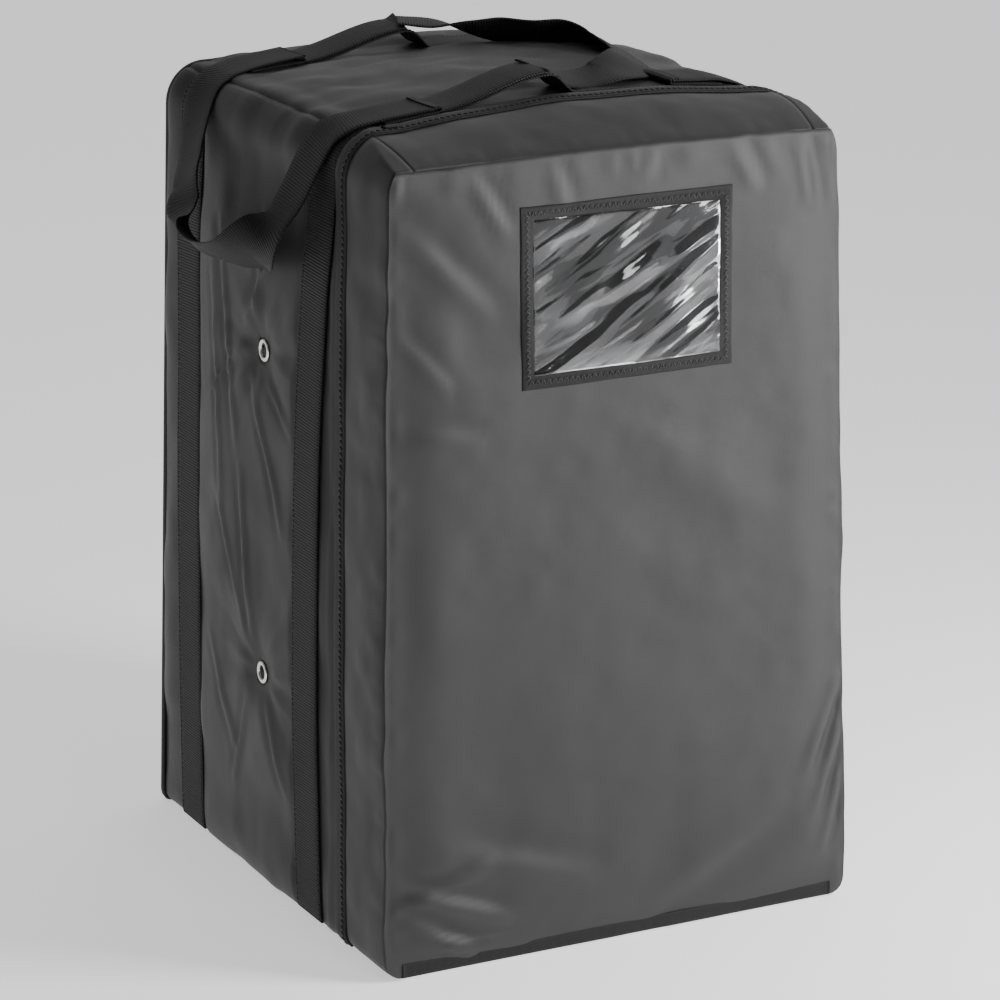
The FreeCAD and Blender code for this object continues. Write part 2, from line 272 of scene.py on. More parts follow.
def ribbed_webbing():
    """Black webbing: raised ribs across its width, crossed by the fine lines of its warp."""
    f = Finish("ribbed_webbing", grey(0.012), 0.62)
    cord = f.place((1 / (1.1 * MM), 1 / (2.4 * MM), 1))
    ribs = f.waves(cord, "Y", 0.4)
    warp = f.waves(cord, "X", 0.3)
    weave = f.maths("MULTIPLY", ribs, f.scaled(warp, 0.6, 1.0))
    fuzz = f.noise(f.place(), 900.0, 3.0)
    f.colours(f.maths("MULTIPLY", weave, f.scaled(fuzz, 0.5, 1.2)), grey(0.002), grey(0.010))
    f.roughness(f.scaled(fuzz, 0.48, 0.74))
    f.bump([(weave, 0.6 * MM, 0.9), (fuzz, 0.1 * MM, 0.4)])
    f.set("Specular IOR Level", 0.28)
    f.set("Sheen Weight", 0.03)
    f.set("Sheen Roughness", 0.5)
    return f.material


def grosgrain_binding():
    """Black binding tape with close ribs across it."""
    f = Finish("grosgrain_binding", grey(0.010), 0.6)
    cord = f.place((1 / (0.9 * MM), 1 / (1.0 * MM), 1))
    ribs = f.waves(cord, "Y", 0.5)
    fuzz = f.noise(f.place(), 1100.0, 3.0)
    f.colours(f.maths("MULTIPLY", ribs, fuzz), grey(0.002), grey(0.012))
    f.roughness(f.scaled(fuzz, 0.45, 0.7))
    f.bump([(ribs, 0.25 * MM, 0.7), (fuzz, 0.08 * MM, 0.4)])
    f.set("Specular IOR Level", 0.28)
    f.set("Sheen Weight", 0.03)
    return f.material


def sewing_thread():
    """Black polyester thread with a slight twist."""
    f = Finish("sewing_thread", grey(0.016), 0.42)
    spun = f.noise(f.place(own_uv=False), 2500.0, 2.0)
    f.colours(spun, grey(0.008), grey(0.045))
    f.bump([(spun, 0.1 * MM, 0.5)])
    return f.material


def insulation_foam():
    """White closed-cell foam board with fine cells."""
    f = Finish("insulation_foam", (0.75, 0.75, 0.73), 0.85)
    where = f.place(own_uv=False)
    cells = f.add("ShaderNodeTexVoronoi", {"Scale": 700.0})
    f.join(where, cells.inputs["Vector"])
    f.colours(f.noise(where, 40.0), (0.66, 0.66, 0.64), (0.80, 0.80, 0.78))
    f.bump([(cells.outputs["Distance"], 0.4 * MM, 0.5)])
    return f.material


def wipe_clean_liner():
    """Silver-grey liner film with soft wrinkles and a fine embossed diamond."""
    f = Finish("wipe_clean_liner", (0.42, 0.43, 0.44), 0.38)
    where = f.place()
    diamonds = f.place((260, 260, 260), turn=math.pi / 4)
    emboss = f.maths("MULTIPLY", f.waves(diamonds, "X"), f.waves(diamonds, "Y"))
    crush = f.noise(where, 30.0, 6.0, 0.6)
    f.colours(crush, (0.36, 0.37, 0.38), (0.50, 0.51, 0.52))
    f.roughness(f.scaled(crush, 0.28, 0.48))
    f.bump([(crush, 1.5 * MM, 0.4), (emboss, 0.25 * MM, 0.5)])
    f.set("Metallic", 0.45)
    return f.material


def stiff_board():
    """Grey pressed board with short fibres."""
    f = Finish("stiff_board", (0.20, 0.19, 0.17), 0.8)
    where = f.place(own_uv=False)
    fibres = f.noise(where, 260.0, 6.0, 0.7)
    f.colours(fibres, (0.14, 0.13, 0.12), (0.28, 0.26, 0.23))
    f.bump([(fibres, 0.3 * MM, 0.4)])
    return f.material


def eyelet_steel():
    """Nickel-plated steel, brushed by the setting tool."""
    f = Finish("eyelet_steel", (0.82, 0.82, 0.80), 0.25)
    where = f.place(own_uv=False)
    wear = f.noise(where, 600.0, 5.0, 0.6)
    f.colours(wear, (0.70, 0.70, 0.68), (0.90, 0.90, 0.88))
    f.roughness(f.scaled(wear, 0.18, 0.38))
    f.bump([(wear, 0.05 * MM, 0.25)])
    f.set("Metallic", 1.0)
    return f.material


def closure_tape(name, pile, spacing):
    """Hook or loop tape: a dense field of tiny tufts."""
    f = Finish(name, grey(0.015), 0.9)
    where = f.place(own_uv=False)
    tufts = f.add("ShaderNodeTexVoronoi", {"Scale": 1 / spacing})
    f.join(where, tufts.inputs["Vector"])
    f.colours(tufts.outputs["Distance"], grey(0.006), grey(pile))
    f.bump([(tufts.outputs["Distance"], 0.8 * MM, 0.9)])
    f.set("Sheen Weight", 0.2)
    return f.material


def clear_film():
    """Clear vinyl: it mirrors at its surface by the angle, and is seen through elsewhere."""
    f = Finish("clear_film", (0.97, 0.98, 1.0), 0.06)
    where = f.place()
    streaks = f.add("ShaderNodeMapping", {"Scale": (1.0, 0.21, 1.0), "Rotation": (0, 0, math.radians(30))},
                    vector_type="TEXTURE")
    f.join(f.uv.outputs["UV"], streaks.inputs["Vector"])
    ripple = f.noise(streaks.outputs["Vector"], 9.0, 1.5, 0.45)
    scuff = f.noise(where, 160.0, 5.0, 0.6)
    mirror = f.add("ShaderNodeFresnel", {"IOR": 1.5})
    f.bump([(ripple, 15.0 * MM, 0.6)])
    f.join(f.scaled(mirror.outputs["Fac"], 0.03, 1.0), f.shader.inputs["Alpha"])
    f.roughness(f.scaled(scuff, 0.03, 0.12))
    f.set("Metallic", 1.0)
    f.colours(scuff, (0.92, 0.93, 0.95), (0.98, 0.98, 1.0))
    return f.material


def studio_floor():
    """A pale, faintly glowing paper floor."""
    f = Finish("studio_floor", (0.9, 0.9, 0.9), 0.9)
    f.colours(f.noise(f.place(own_uv=False), 3.0), (0.895, 0.895, 0.895), (0.905, 0.905, 0.905))
    f.set("Emission Color", (1, 1, 1, 1))
    f.set("Emission Strength", 0.72)
    return f.material


finish = {
    "nylon": coated_nylon(),
    "webbing": ribbed_webbing(),
    "binding": grosgrain_binding(),
    "thread": sewing_thread(),
    "foam": insulation_foam(),
    "liner": wipe_clean_liner(),
    "board": stiff_board(),
    "steel": eyelet_steel(),
    "hook": closure_tape("hook_tape", 0.035, 0.9 * MM),
    "loop": closure_tape("loop_tape", 0.055, 0.5 * MM),
    "film": clear_film(),
    "floor": studio_floor(),
}


# ---------------------------------------------------------------- shapes as arrays

def smooth(t):
    """0 below 0, 1 above 1, and the cubic 3tt - 2ttt between."""
    t = np.clip(t, 0, 1)
    return t * t * (3 - 2 * t)


def hump(t):
    """A half sine: 0 at both ends and 1 in the middle."""
    return np.sin(np.pi * np.clip(t, 0, 1))


def bell(t):
    """1 at 0, falling to nothing by about 2 on either side."""
    return np.exp(-t * t)


def unit(v):
    """Vectors brought to length 1."""
    return v / np.maximum(np.linalg.norm(v, axis=-1, keepdims=True), 1e-12)


def rumple(a, b, size, seed):
    """Smooth random height from -1 to 1: random values on a lattice, size apart, blended by a quintic."""
    count = 97
    values = np.random.default_rng(seed).uniform(-1, 1, (count, count))
    u = a / size + 31.37
    v = b / size + 47.71
    i = np.floor(u).astype(int)
    j = np.floor(v).astype(int)
    f = u - i
    g = v - j
    f = f ** 3 * (f * (6 * f - 15) + 10)
    g = g ** 3 * (g * (6 * g - 15) + 10)

    def corner(di, dj):
        return values[(i + di) % count, (j + dj) % count]

    near = corner(0, 0) * (1 - f) + corner(1, 0) * f
    far = corner(0, 1) * (1 - f) + corner(1, 1) * f
    return near * (1 - g) + far * g


def crease(a, b, start, end, wide, deep):
    """A fold along a line: a ridge with a valley beside it, each a bell across the line and fading to the
    line's ends."""
    along = np.subtract(end, start)
    length = np.hypot(*along)
    t = ((a - start[0]) * along[0] + (b - start[1]) * along[1]) / length ** 2
    q = ((b - start[1]) * along[0] - (a - start[0]) * along[1]) / length / wide
    return deep * hump(t) ** 0.7 * (bell(q) - 0.7 * bell(q - 1.7))


def at_distance(distance, gone, values):
    """Rows of values interpolated at distances, where gone is the distance of each row."""
    return np.stack([np.interp(distance, gone, values[:, k]) for k in range(values.shape[1])], 1)


def curve_through(points, count):
    """Catmull-Rom line through points, sampled evenly along its length by its first three columns."""
    p = np.asarray(points, float)
    ends = np.concatenate([2 * p[:1] - p[1:2], p, 2 * p[-1:] - p[-2:-1]])
    t = np.linspace(0, len(p) - 1 - 1e-9, 40 * len(p))
    i = t.astype(int)
    u = (t - i)[:, None]
    a, b, c, d = ends[i], ends[i + 1], ends[i + 2], ends[i + 3]
    square = 2 * a - 5 * b + 4 * c - d
    cube = 3 * b - a - 3 * c + d
    line = 0.5 * (2 * b + (c - a) * u + square * u ** 2 + cube * u ** 3)
    gone = steps(line[:, :3])
    return at_distance(np.linspace(0, gone[-1], count), gone, line)


def everywhere(direction, count):
    """The same direction on each of count rows."""
    return np.tile(np.array(direction, float), (count, 1))


# ---------------------------------------------------------------- meshes

def make_piece(name, verts, faces, uvs, kind, body):
    """A mesh object at the origin with one UV pair for each face corner, riding on a body."""
    mesh = bpy.data.meshes.new(name)
    mesh.from_pydata(verts.tolist(), [], faces)
    layer = mesh.uv_layers.new(name="cloth")
    layer.data.foreach_set("uv", np.asarray(uvs, np.float32).ravel())
    mesh.polygons.foreach_set("use_smooth", np.ones(len(mesh.polygons), bool))
    mesh.materials.append(finish[kind])
    mesh.update()
    piece = bpy.data.objects.new(name, mesh)
    bpy.context.scene.collection.objects.link(piece)
    if body:
        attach(piece, body)
    return piece


def steps(points):
    """Distance gone along each row of points."""
    gaps = np.linalg.norm(np.diff(points, axis=0), axis=-1)
    return np.concatenate([np.zeros((1,) + gaps.shape[1:]), np.cumsum(gaps, 0)])


def grid_piece(name, points, kind, body, thick=0.0, flip=False):
    """Open sheet from a grid of points; its UV map is the distance along the grid both ways."""
    rows, cols = points.shape[:2]
    uv = np.stack([steps(points), np.swapaxes(steps(np.swapaxes(points, 0, 1)), 0, 1)], -1).reshape(-1, 2)
    index = np.arange(rows * cols).reshape(rows, cols)
    corners = [index[:-1, :-1], index[1:, :-1], index[1:, 1:], index[:-1, 1:]]
    faces = np.stack(corners[::-1] if flip else corners, -1).reshape(-1, 4)
    piece = make_piece(name, points.reshape(-1, 3), faces.tolist(), uv[faces.ravel()], kind, body)
    if thick:
        solid = piece.modifiers.new("thickness", "SOLIDIFY")
        solid.thickness = thick
        solid.offset = -1
    return piece


def carried_piece(name, path, across, up, profile, kind, body, closed=False):
    """A closed profile of (across, up) pairs carried along a path, capped at both ends unless it closes."""
    points = path[:, None] + across[:, None] * profile[None, :, :1] + up[:, None] * profile[None, :, 1:2]
    return tube_piece(name, points, path, profile, kind, body, closed)


def tube_piece(name, points, path, profile, kind, body, closed=False):
    """The tube through rows of points: one row for each place on the path, one column round the profile."""
    n, m = points.shape[:2]
    index = np.arange(n * m).reshape(n, m)
    ring = np.concatenate([index, index[:, :1]], 1)
    lengths = path
    if closed:
        ring = np.concatenate([ring, ring[:1]], 0)
        lengths = np.concatenate([path, path[:1]])
    faces = np.stack([ring[:-1, :-1], ring[1:, :-1], ring[1:, 1:], ring[:-1, 1:]], -1).reshape(-1, 4)
    along = steps(lengths)
    around = steps(np.concatenate([profile, profile[:1]]))
    uv = np.stack(np.broadcast_arrays(around[None, :], along[:, None]), -1)
    uvs = np.stack([uv[:-1, :-1], uv[1:, :-1], uv[1:, 1:], uv[:-1, 1:]], 2).reshape(-1, 2)
    flat = points.reshape(-1, 3)
    a, b, c, d = (flat[faces[:, k]] for k in range(4))
    ends = [index[0][::-1].tolist(), index[-1].tolist()]
    inside_out = (a * (np.cross(b, c) + np.cross(c, d))).sum() < 0
    if inside_out:
        faces = faces[:, ::-1]
        uvs = uvs.reshape(-1, 4, 2)[:, ::-1].reshape(-1, 2)
        ends = [index[0].tolist(), index[-1][::-1].tolist()]
    faces = faces.tolist()
    if not closed:
        faces += ends
        uvs = np.concatenate([uvs, profile, profile])
    return make_piece(name, flat, faces, uvs, kind, body)


def tape_profile(wide, thick, low=0.0, belly=0.0):
    """Flat tape lying on its lower face, with round edges. Its belly lifts its middle."""
    turn = np.linspace(-np.pi / 2, np.pi / 2, 5)
    edge_r = thick / 2
    right = np.stack([wide / 2 - edge_r + edge_r * np.cos(turn), edge_r + edge_r * np.sin(turn)], 1)
    inner = np.linspace(wide / 2 - thick, -wide / 2 + thick, 7)[1:-1]
    top = np.stack([inner, np.full(len(inner), thick)], 1)
    left = np.stack([-right[::-1, 0], right[::-1, 1]], 1)
    under = np.stack([inner[::-1], np.zeros(len(inner))], 1)
    outline = np.concatenate([right, top, left, under])
    outline[:, 1] += low + belly * (1 - (2 * outline[:, 0] / wide) ** 2)
    return outline


def stitch_piece(name, starts, ends, up, body, thread_r):
    """A row of stitches. Each is a thread in four rings of five corners, thin where it dives in."""
    rings, sides = 4, 5
    share = np.array([0.0, 0.25, 0.75, 1.0])
    thick = thread_r * np.array([0.4, 1.0, 1.0, 0.4])
    rise = thread_r * np.array([-0.6, 0.5, 0.5, -0.6])
    along = unit(ends - starts)
    side = unit(np.cross(along, up))
    line = starts[:, None] + (ends - starts)[:, None] * share[:, None] + up[:, None] * rise[:, None]
    turn = np.arange(sides) * 2 * np.pi / sides
    spoke = side[:, None] * np.cos(turn)[:, None] + np.cross(side, along)[:, None] * np.sin(turn)[:, None]
    points = line[:, :, None] + spoke[:, None] * thick[:, None, None]
    first = np.arange(len(starts))[:, None] * rings * sides
    index = np.arange(rings * sides).reshape(rings, sides)
    turned = np.roll(index, -1, axis=1)
    quads = np.stack([index[:-1], turned[:-1], turned[1:], index[1:]], -1)
    caps = np.array([index[0][::-1], index[-1]])
    faces = (first + quads.ravel()).reshape(-1, 4).tolist()
    faces += (first + caps.ravel()).reshape(-1, sides).tolist()
    corners = sum(len(f) for f in faces)
    return make_piece(name, points.reshape(-1, 3), faces, np.zeros((corners, 2)), "thread", body)


# ---------------------------------------------------------------- the bag's section

def half_at(z):
    """Half the bag's width over the flap at height z: the sides lean in towards the top."""
    return width / 2 + side_lean * (1 - 2 * z / height)


def leaned(plane, z):
    """Depth of a cross plane (y at mid height, way it leans) at height z."""
    return plane[0] + plane[1] * face_lean * (1 - 2 * z / height)


def top_limit(y):
    """Height that the top may reach at depth y: it falls evenly from the hinge line to the flap's face."""
    return height - front_drop * np.clip((hinge_y - y) / (hinge_y - face_y - face_lean), 0, 1.2)


class Section:
    """The bag's outline seen from the front, inset evenly: flat top, quarter-round shoulders, leaning
    sides and small round feet, with the distance s along it from the middle of the top."""

    def __init__(self, inset, low=0.0):
        self.inset = inset
        foot = max(foot_r - inset, 1.5 * MM)
        turn = np.linspace(0, np.pi / 2, 20)
        knee = height - shoulder_r
        flat = half_at(knee) - shoulder_r
        edge = half_at(knee) - inset
        z_side = np.linspace(knee, low + foot, 90)
        foot_x = half_at(low + foot) - inset - foot
        x = [np.linspace(0, flat, 40), (flat + (edge - flat) * np.sin(turn))[1:],
             (half_at(z_side) - inset)[1:], (foot_x + foot * np.cos(turn))[1:]]
        z = [np.full(40, height - inset), (knee + (shoulder_r - inset) * np.cos(turn))[1:],
             z_side[1:], (low + foot - foot * np.sin(turn))[1:]]
        x, z = np.concatenate(x), np.concatenate(z)
        s = steps(np.stack([x, z], 1))
        self.x = np.concatenate([-x[:0:-1], x])
        self.z = np.concatenate([z[:0:-1], z])
        self.s = np.concatenate([-s[:0:-1], s])
        way = unit(np.stack([np.gradient(self.x, self.s), np.gradient(self.z, self.s)], 1))
        self.out_x, self.out_z = -way[:, 1], way[:, 0]
        self.flat = flat
        self.seam = flat + seam_past_flat
        self.shoulder = flat + s[58] - s[39]
        self.end = s[-1]

    def at(self, s):
        """x, z and the outward direction at distance s."""
        return [np.interp(s, self.s, v) for v in (self.x, self.z, self.out_x, self.out_z)]

    def point(self, s, y, out):
        """Point at (s, y), standing out from the outline. The top falls towards the flap."""
        x, z, nx, nz = self.at(s)
        length = np.hypot(nx, nz)
        z = np.minimum(z, top_limit(y) - self.inset)
        z = np.maximum(z + nz / length * out, floor_gap)
        return np.stack(np.broadcast_arrays(x + nx / length * out, y, z), -1)


over_flap = Section(0.0, flap_low)
body = Section(body_inset)
cavity = Section(cavity_inset, 17 * MM)


def lattice(section, s_range, first, last, gap):
    """Grid of (s, y) over part of the walls between two cross planes, about gap apart."""
    rows = max(int((s_range[1] - s_range[0]) / gap), 2)
    s = np.linspace(*s_range, rows + 1)[:, None]
    z = section.at(s)[1]
    y0, y1 = leaned(first, z), leaned(last, z)
    cols = max(int((last[0] - first[0]) / gap), 2)
    t = np.linspace(0, 1, cols + 1)[None, :]
    y = y0 + (y1 - y0) * t
    return np.broadcast_to(s, y.shape), y


# ---------------------------------------------------------------- how the cloth stands

def dome(x, y):
    """Rise of the top over the CAD's flat top: fullest a little right of the middle and behind the rim."""
    across = np.clip(1 - ((x - 25 * MM) / (178 * MM)) ** 2, 0, 1)
    return across * (13 * MM - 7 * MM * smooth((y - 0.05) / 0.18) - 9 * MM * smooth((hinge_y - y) / 0.09))


def strap_near(y, s):
    """1 on the straps and 0 away from them, with soft edges."""
    on = 0
    for middle in strap_ys:
        on = on + smooth((webbing_w / 2 + 3 * MM - np.abs(y - strap_bow(middle, s) - middle)) / (5 * MM))
    return np.clip(on, 0, 1)


def strap_bow(middle, s):
    """The front strap hangs a little further back down the side than at the shoulder."""
    low = smooth((np.abs(s) - body.shoulder - 40 * MM) / 0.2)
    return (11 * MM * low if middle < 0 else -3 * MM * low) + 1.5 * MM * rumple(s, middle + 0 * s, 0.12, 5)


def body_base(s, y):
    """The body's broad shape, which the straps follow: bellied sides and a domed top."""
    x, z, _, nz = body.at(s)
    side = smooth((np.abs(s) - body.shoulder) / 0.10)
    behind = smooth((y + 0.150) / 0.05)
    belly = 7.5 * MM * hump(np.clip(z / height, 0, 1)) ** 0.55 * side
    fade = 1 - 0.75 * smooth((y - 0.10) / 0.14)
    top = dome(x, y) * np.clip(nz, 0, 1) ** 2
    return behind * belly * fade + top * np.clip(0.15 + behind, 0, 1)


def eyelet_pull(s, y):
    """Rays of pinched cloth round each eyelet, and a dimple under its flange: (creases, dimple share)."""
    grip_r = 9 * MM
    z = body.at(s)[1]
    side = np.sign(s)
    on_side = smooth((np.abs(s) - body.shoulder) / 0.02)
    rays, dimple = 0.0, 1.0
    for k, eyelet_z in enumerate(eyelet_zs):
        r = np.hypot(y - eyelet_y, z - eyelet_z)
        turn = np.arctan2(z - eyelet_z, y - eyelet_y)
        spread = np.cos(7 * turn + 1.3 * side + k + 2.2 * np.sin(turn * 2 + k)) ** 3
        ring = bell((r - 34 * MM) / (42 * MM)) * smooth((r - grip_r) / (16 * MM))
        rays = rays + on_side * spread * 1.1 * MM * ring
        dimple = dimple * (1 - 0.30 * on_side * bell(np.maximum(r - grip_r, 0) / (16 * MM)))
    return rays, dimple


# Folds on the body's sides: (y, z) of each end, then width and height in millimetres
side_folds = [
    ((0.085, 0.56), (0.045, 0.36), 5, 2.4), ((0.10, 0.52), (0.075, 0.30), 4, 1.8),
    ((0.02, 0.44), (-0.045, 0.31), 4, 2.0), ((-0.01, 0.44), (-0.06, 0.40), 3, 1.6),
    ((0.03, 0.46), (0.115, 0.39), 4, 1.8), ((0.04, 0.36), (0.015, 0.21), 5, 2.4),
    ((0.09, 0.33), (0.03, 0.22), 4, 1.8), ((0.02, 0.17), (0.06, 0.07), 4, 2.0),
    ((-0.01, 0.17), (-0.05, 0.09), 4, 1.6), ((-0.06, 0.60), (0.03, 0.47), 6, 2.6),
    ((0.00, 0.58), (0.01, 0.48), 4, 1.6), ((0.11, 0.20), (0.05, 0.10), 5, 1.6),
]


def body_swell(s, y):
    """How far the body's cloth stands out from the CAD's outer face. It never falls behind that face."""
    x, z = body.at(s)[:2]
    free = 1 - strap_near(y, s)
    front, back = strap_ys
    bay = hump((y - front - webbing_w / 2) / (back - front - webbing_w)) ** 0.6
    ends = hump((y - back - webbing_w / 2) / (back_y - back - webbing_w / 2))
    slot = hump((y - rim_y - 8 * MM) / (front - webbing_w / 2 - rim_y - 8 * MM))
    low = smooth((body.end - np.abs(s)) / 0.03)
    pillow = (5.0 * MM * bay + 2.5 * MM * ends + 1.5 * MM * slot) * low
    left = s < 0
    turned = np.where(left, 0.0, 0.37)
    drape = 1.6 * MM * rumple(y + 0.6 * z + turned, z * 0.55 + s, 0.075, 11)
    fine = 0.8 * MM * rumple(y * 1.2 + turned, z * 0.5 + 0.3 * s, 0.028, 12)
    on_side = smooth((np.abs(s) - body.shoulder + 0.02) / 0.05)
    fold_y = y * np.where(left, 1.0, -1.0) + np.where(left, 0, 0.03)
    fold_z = z - np.where(left, 0.0, 0.025)
    folds = sum(crease(fold_y, fold_z, start, end, wide * MM, high * MM)
                for start, end, wide, high in side_folds)
    crinkle = 2.2 * MM * np.abs(rumple(x + 0.5 * y, y - 0.3 * x, 0.06, 21))
    crinkle = crinkle + 1.2 * MM * rumple(x, y, 0.025, 22)
    rays, dimple = eyelet_pull(s, y)
    relief = pillow + drape + fine + on_side * folds + (1 - on_side) * crinkle + rays
    out = body_base(s, y) + free * relief
    hidden = smooth((rim_y - 4 * MM - y) / (12 * MM))
    out = out * (1 - hidden) + hidden * 0.1 * MM
    seam = bell((np.abs(s) - body.seam) / (2.5 * MM))
    out = out - 1.4 * MM * seam
    edge = smooth((leaned((back_y, BACK), z) - y) / (8 * MM))
    out = np.maximum(out * edge, 0.15 * MM)
    return out * dimple + (1 - dimple) * 0.12 * MM


def rim_wave(s):
    """How far the flap's rim stands out: it follows the body's dome and belly, with small waves."""
    x, z, _, nz = over_flap.at(s)
    top = dome(x, rim_y) * np.clip(nz, 0, 1) ** 2
    ear = 15 * MM * bell((s - over_flap.shoulder + 10 * MM) / (22 * MM))
    waves = 0.9 * MM * rumple(s, 0 * s, 0.05, 31) + 0.8 * MM
    belly = 2.0 * MM * hump(z / height) * smooth((np.abs(s) - over_flap.shoulder) / 0.1)
    return top + ear + waves + belly


def seam_wave(z, side):
    """How far the seam round the flap's face wanders outward at height z on one side, -1 or 1."""
    free = smooth((z - flap_low) / 0.05) * smooth((height - front_drop - shoulder_r - z) / 0.05)
    broad = 1.6 * MM * rumple(z, 0.3 * side + 0 * z, 0.07, 36)
    close = 0.8 * MM * rumple(z, side + 0 * z, 0.024, 37)
    return free * (1.6 * MM + broad + close)


def gusset_swell(s, y):
    """How far the flap's gusset stands out: level with the rim at the back, drawn in to the front seam."""
    _, z, _, nz = over_flap.at(s)
    back = leaned((rim_y, FRONT), z)
    front = leaned((face_y, FRONT), z)
    t = np.clip((y - front) / (back - front), 0, 1)
    bay = hump(t / 0.80)
    puff = bay ** 0.7 * (2.5 * MM + 4.0 * MM * np.clip(nz, 0, 1) ** 2)
    broad = 1.6 * MM * rumple(s, y * 0.6 + 0.2, 0.055, 33)
    drape = bay ** 0.5 * (broad + 0.7 * MM * rumple(s, y, 0.02, 34))
    pucker = bell((y - front - 9 * MM) / (9 * MM)) * 0.9 * MM * rumple(s, 0 * y, 0.014, 35)
    low = smooth((over_flap.end - np.abs(s)) / 0.03)
    swell = (rim_wave(s) * smooth(t * 1.15) + puff + drape) * low
    return swell + np.abs(pucker) + seam_wave(z, np.sign(s)) * smooth(1 - 1.6 * t)


# Folds on the flap's face: (x, z) of each end, then width and height in millimetres
face_folds = [
    ((-0.205, 0.075), (-0.10, 0.035), 7, 5.0), ((-0.205, 0.060), (-0.12, 0.085), 6, 4.0),
    ((-0.20, 0.050), (-0.13, 0.010), 6, 4.0), ((-0.205, 0.030), (-0.08, 0.015), 5, 3.0),
    ((-0.17, 0.10), (-0.02, 0.055), 12, 3.5), ((0.205, 0.20), (0.165, 0.11), 6, 4.0),
    ((0.208, 0.16), (0.175, 0.075), 5, 3.5), ((0.208, 0.12), (0.185, 0.04), 5, 3.0),
    ((0.15, 0.10), (0.02, 0.03), 14, 3.0), ((-0.19, 0.60), (-0.11, 0.52), 9, 2.6),
    ((-0.13, 0.635), (-0.10, 0.585), 6, 2.6), ((-0.06, 0.64), (-0.05, 0.60), 6, 2.2),
    ((0.03, 0.64), (0.02, 0.618), 5, 2.0), ((0.10, 0.64), (0.12, 0.60), 7, 2.4),
    ((0.16, 0.635), (0.17, 0.58), 7, 2.4), ((-0.20, 0.44), (-0.12, 0.43), 8, 2.2),
    ((-0.195, 0.52), (-0.15, 0.47), 6, 1.8), ((0.13, 0.33), (0.02, 0.42), 22, 2.2),
]


def face_swell(x, z):
    """How far the flap's face stands out: padded, flat at its seams, with folds from its corners."""
    side = half_at(z) - np.abs(x)
    up = height - front_drop - z
    down = z - flap_low
    edge = (1 - bell(side / (26 * MM))) * (1 - bell(up / (24 * MM))) * (1 - bell(down / (26 * MM)))
    puff = 7 * MM * edge * (0.75 + 0.25 * hump((x / width) + 0.5) * hump(z / height))
    lumps = edge * (2.6 * MM * rumple(x + 0.3 * z, z, 0.13, 41) + 1.1 * MM * rumple(x, z * 0.8, 0.05, 42)
                    + 0.35 * MM * rumple(x, z, 0.018, 43))
    sag = 3.0 * MM * bell((z - 0.10) / 0.09) * edge
    folds = sum(crease(x, z, start, end, wide * MM, high * MM) for start, end, wide, high in face_folds)
    seam_pucker = np.abs(rumple(z, x * 0.2, 0.016, 44)) * bell((side - 7 * MM) / (7 * MM)) * 1.2 * MM
    top_pucker = np.abs(rumple(x, z * 0.2, 0.017, 45)) * bell((up - 11 * MM) / (10 * MM)) * 1.6 * MM
    still = smooth(np.minimum(side, np.minimum(up, down)) / (6 * MM))
    return puff + lumps + sag + (folds * 0.8 + seam_pucker + top_pucker) * still + 0.2 * MM


def face_point(x, z, out):
    """Point on the flap's face at x and z, standing out towards the front."""
    return np.stack(np.broadcast_arrays(x, leaned((face_y, FRONT), z) - out, z), -1)


# ---------------------------------------------------------------- the body

def sheet_piece(name, points, kind, body_name, thick, node, flip=False):
    """A sheet that stands for a CAD panel, with its cut size and what it rests on."""
    piece = grid_piece(name, points, kind, body_name, thick, flip)
    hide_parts(node)
    return piece


def wall_spans(section):
    """Where each wall's panel starts and ends round a section."""
    return {"left": (-section.end, -section.seam), "top": (-section.seam, section.seam),
            "right": (section.seam, section.end)}


def panel(name, node, section, s_range, planes, gap, swell, body_name):
    """One cut panel of the walls. With no body of its own, its thickness is made part of its mesh and its
    place is baked into its points.
    """
    s, y = lattice(section, s_range, *planes, gap)
    piece = sheet_piece(name, section.point(s, y, swell(s, y)), "nylon", body_name, cloth_t, node)
    if body_name is None:
        bend_with_flap(piece)


def apply_thickness(piece):
    """Makes a sheet's thickness part of its mesh."""
    for modifier in list(piece.modifiers):
        with bpy.context.temp_override(object=piece, active_object=piece):
            bpy.ops.object.modifier_apply(modifier=modifier.name)


def bend_with_flap(piece):
    """Makes the piece's thickness part of its mesh and bakes its place into its points."""
    apply_thickness(piece)
    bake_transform(piece)


def make_body_cloth():
    """The side and top panels of the body, then its back and bottom."""
    planes = ((mouth_y, FRONT), (back_y, BACK))
    spans = wall_spans(body)
    for side, name in (("left", "left_side_cloth"), ("right", "right_side_cloth"), ("top", "top_cloth")):
        panel(name, f"outer_{side}", body, spans[side], planes, 4.5 * MM, body_swell, "carrier")
    make_back_cloth()
    make_bottom_cloth()


def rounded_face_grid(section, rows, cols, top):
    """x and z of a grid over the area inside a section, up to a height: each row spans it at one height.

    Rows follow the outline's own distance, so that the round corners stay smooth, and columns close up
    towards the sides."""
    upper = section.s >= section.flat
    highest = section.s[upper][np.argmin(np.abs(section.z[upper] - top))]
    s = np.linspace(section.end, highest, rows)
    x, z = np.interp(s, section.s, section.x), np.interp(s, section.s, section.z)
    t = np.linspace(-1, 1, cols)
    t = t * (1.5 - 0.5 * t * t)
    return x[:, None] * t[None, :], np.broadcast_to(z[:, None], (rows, cols))


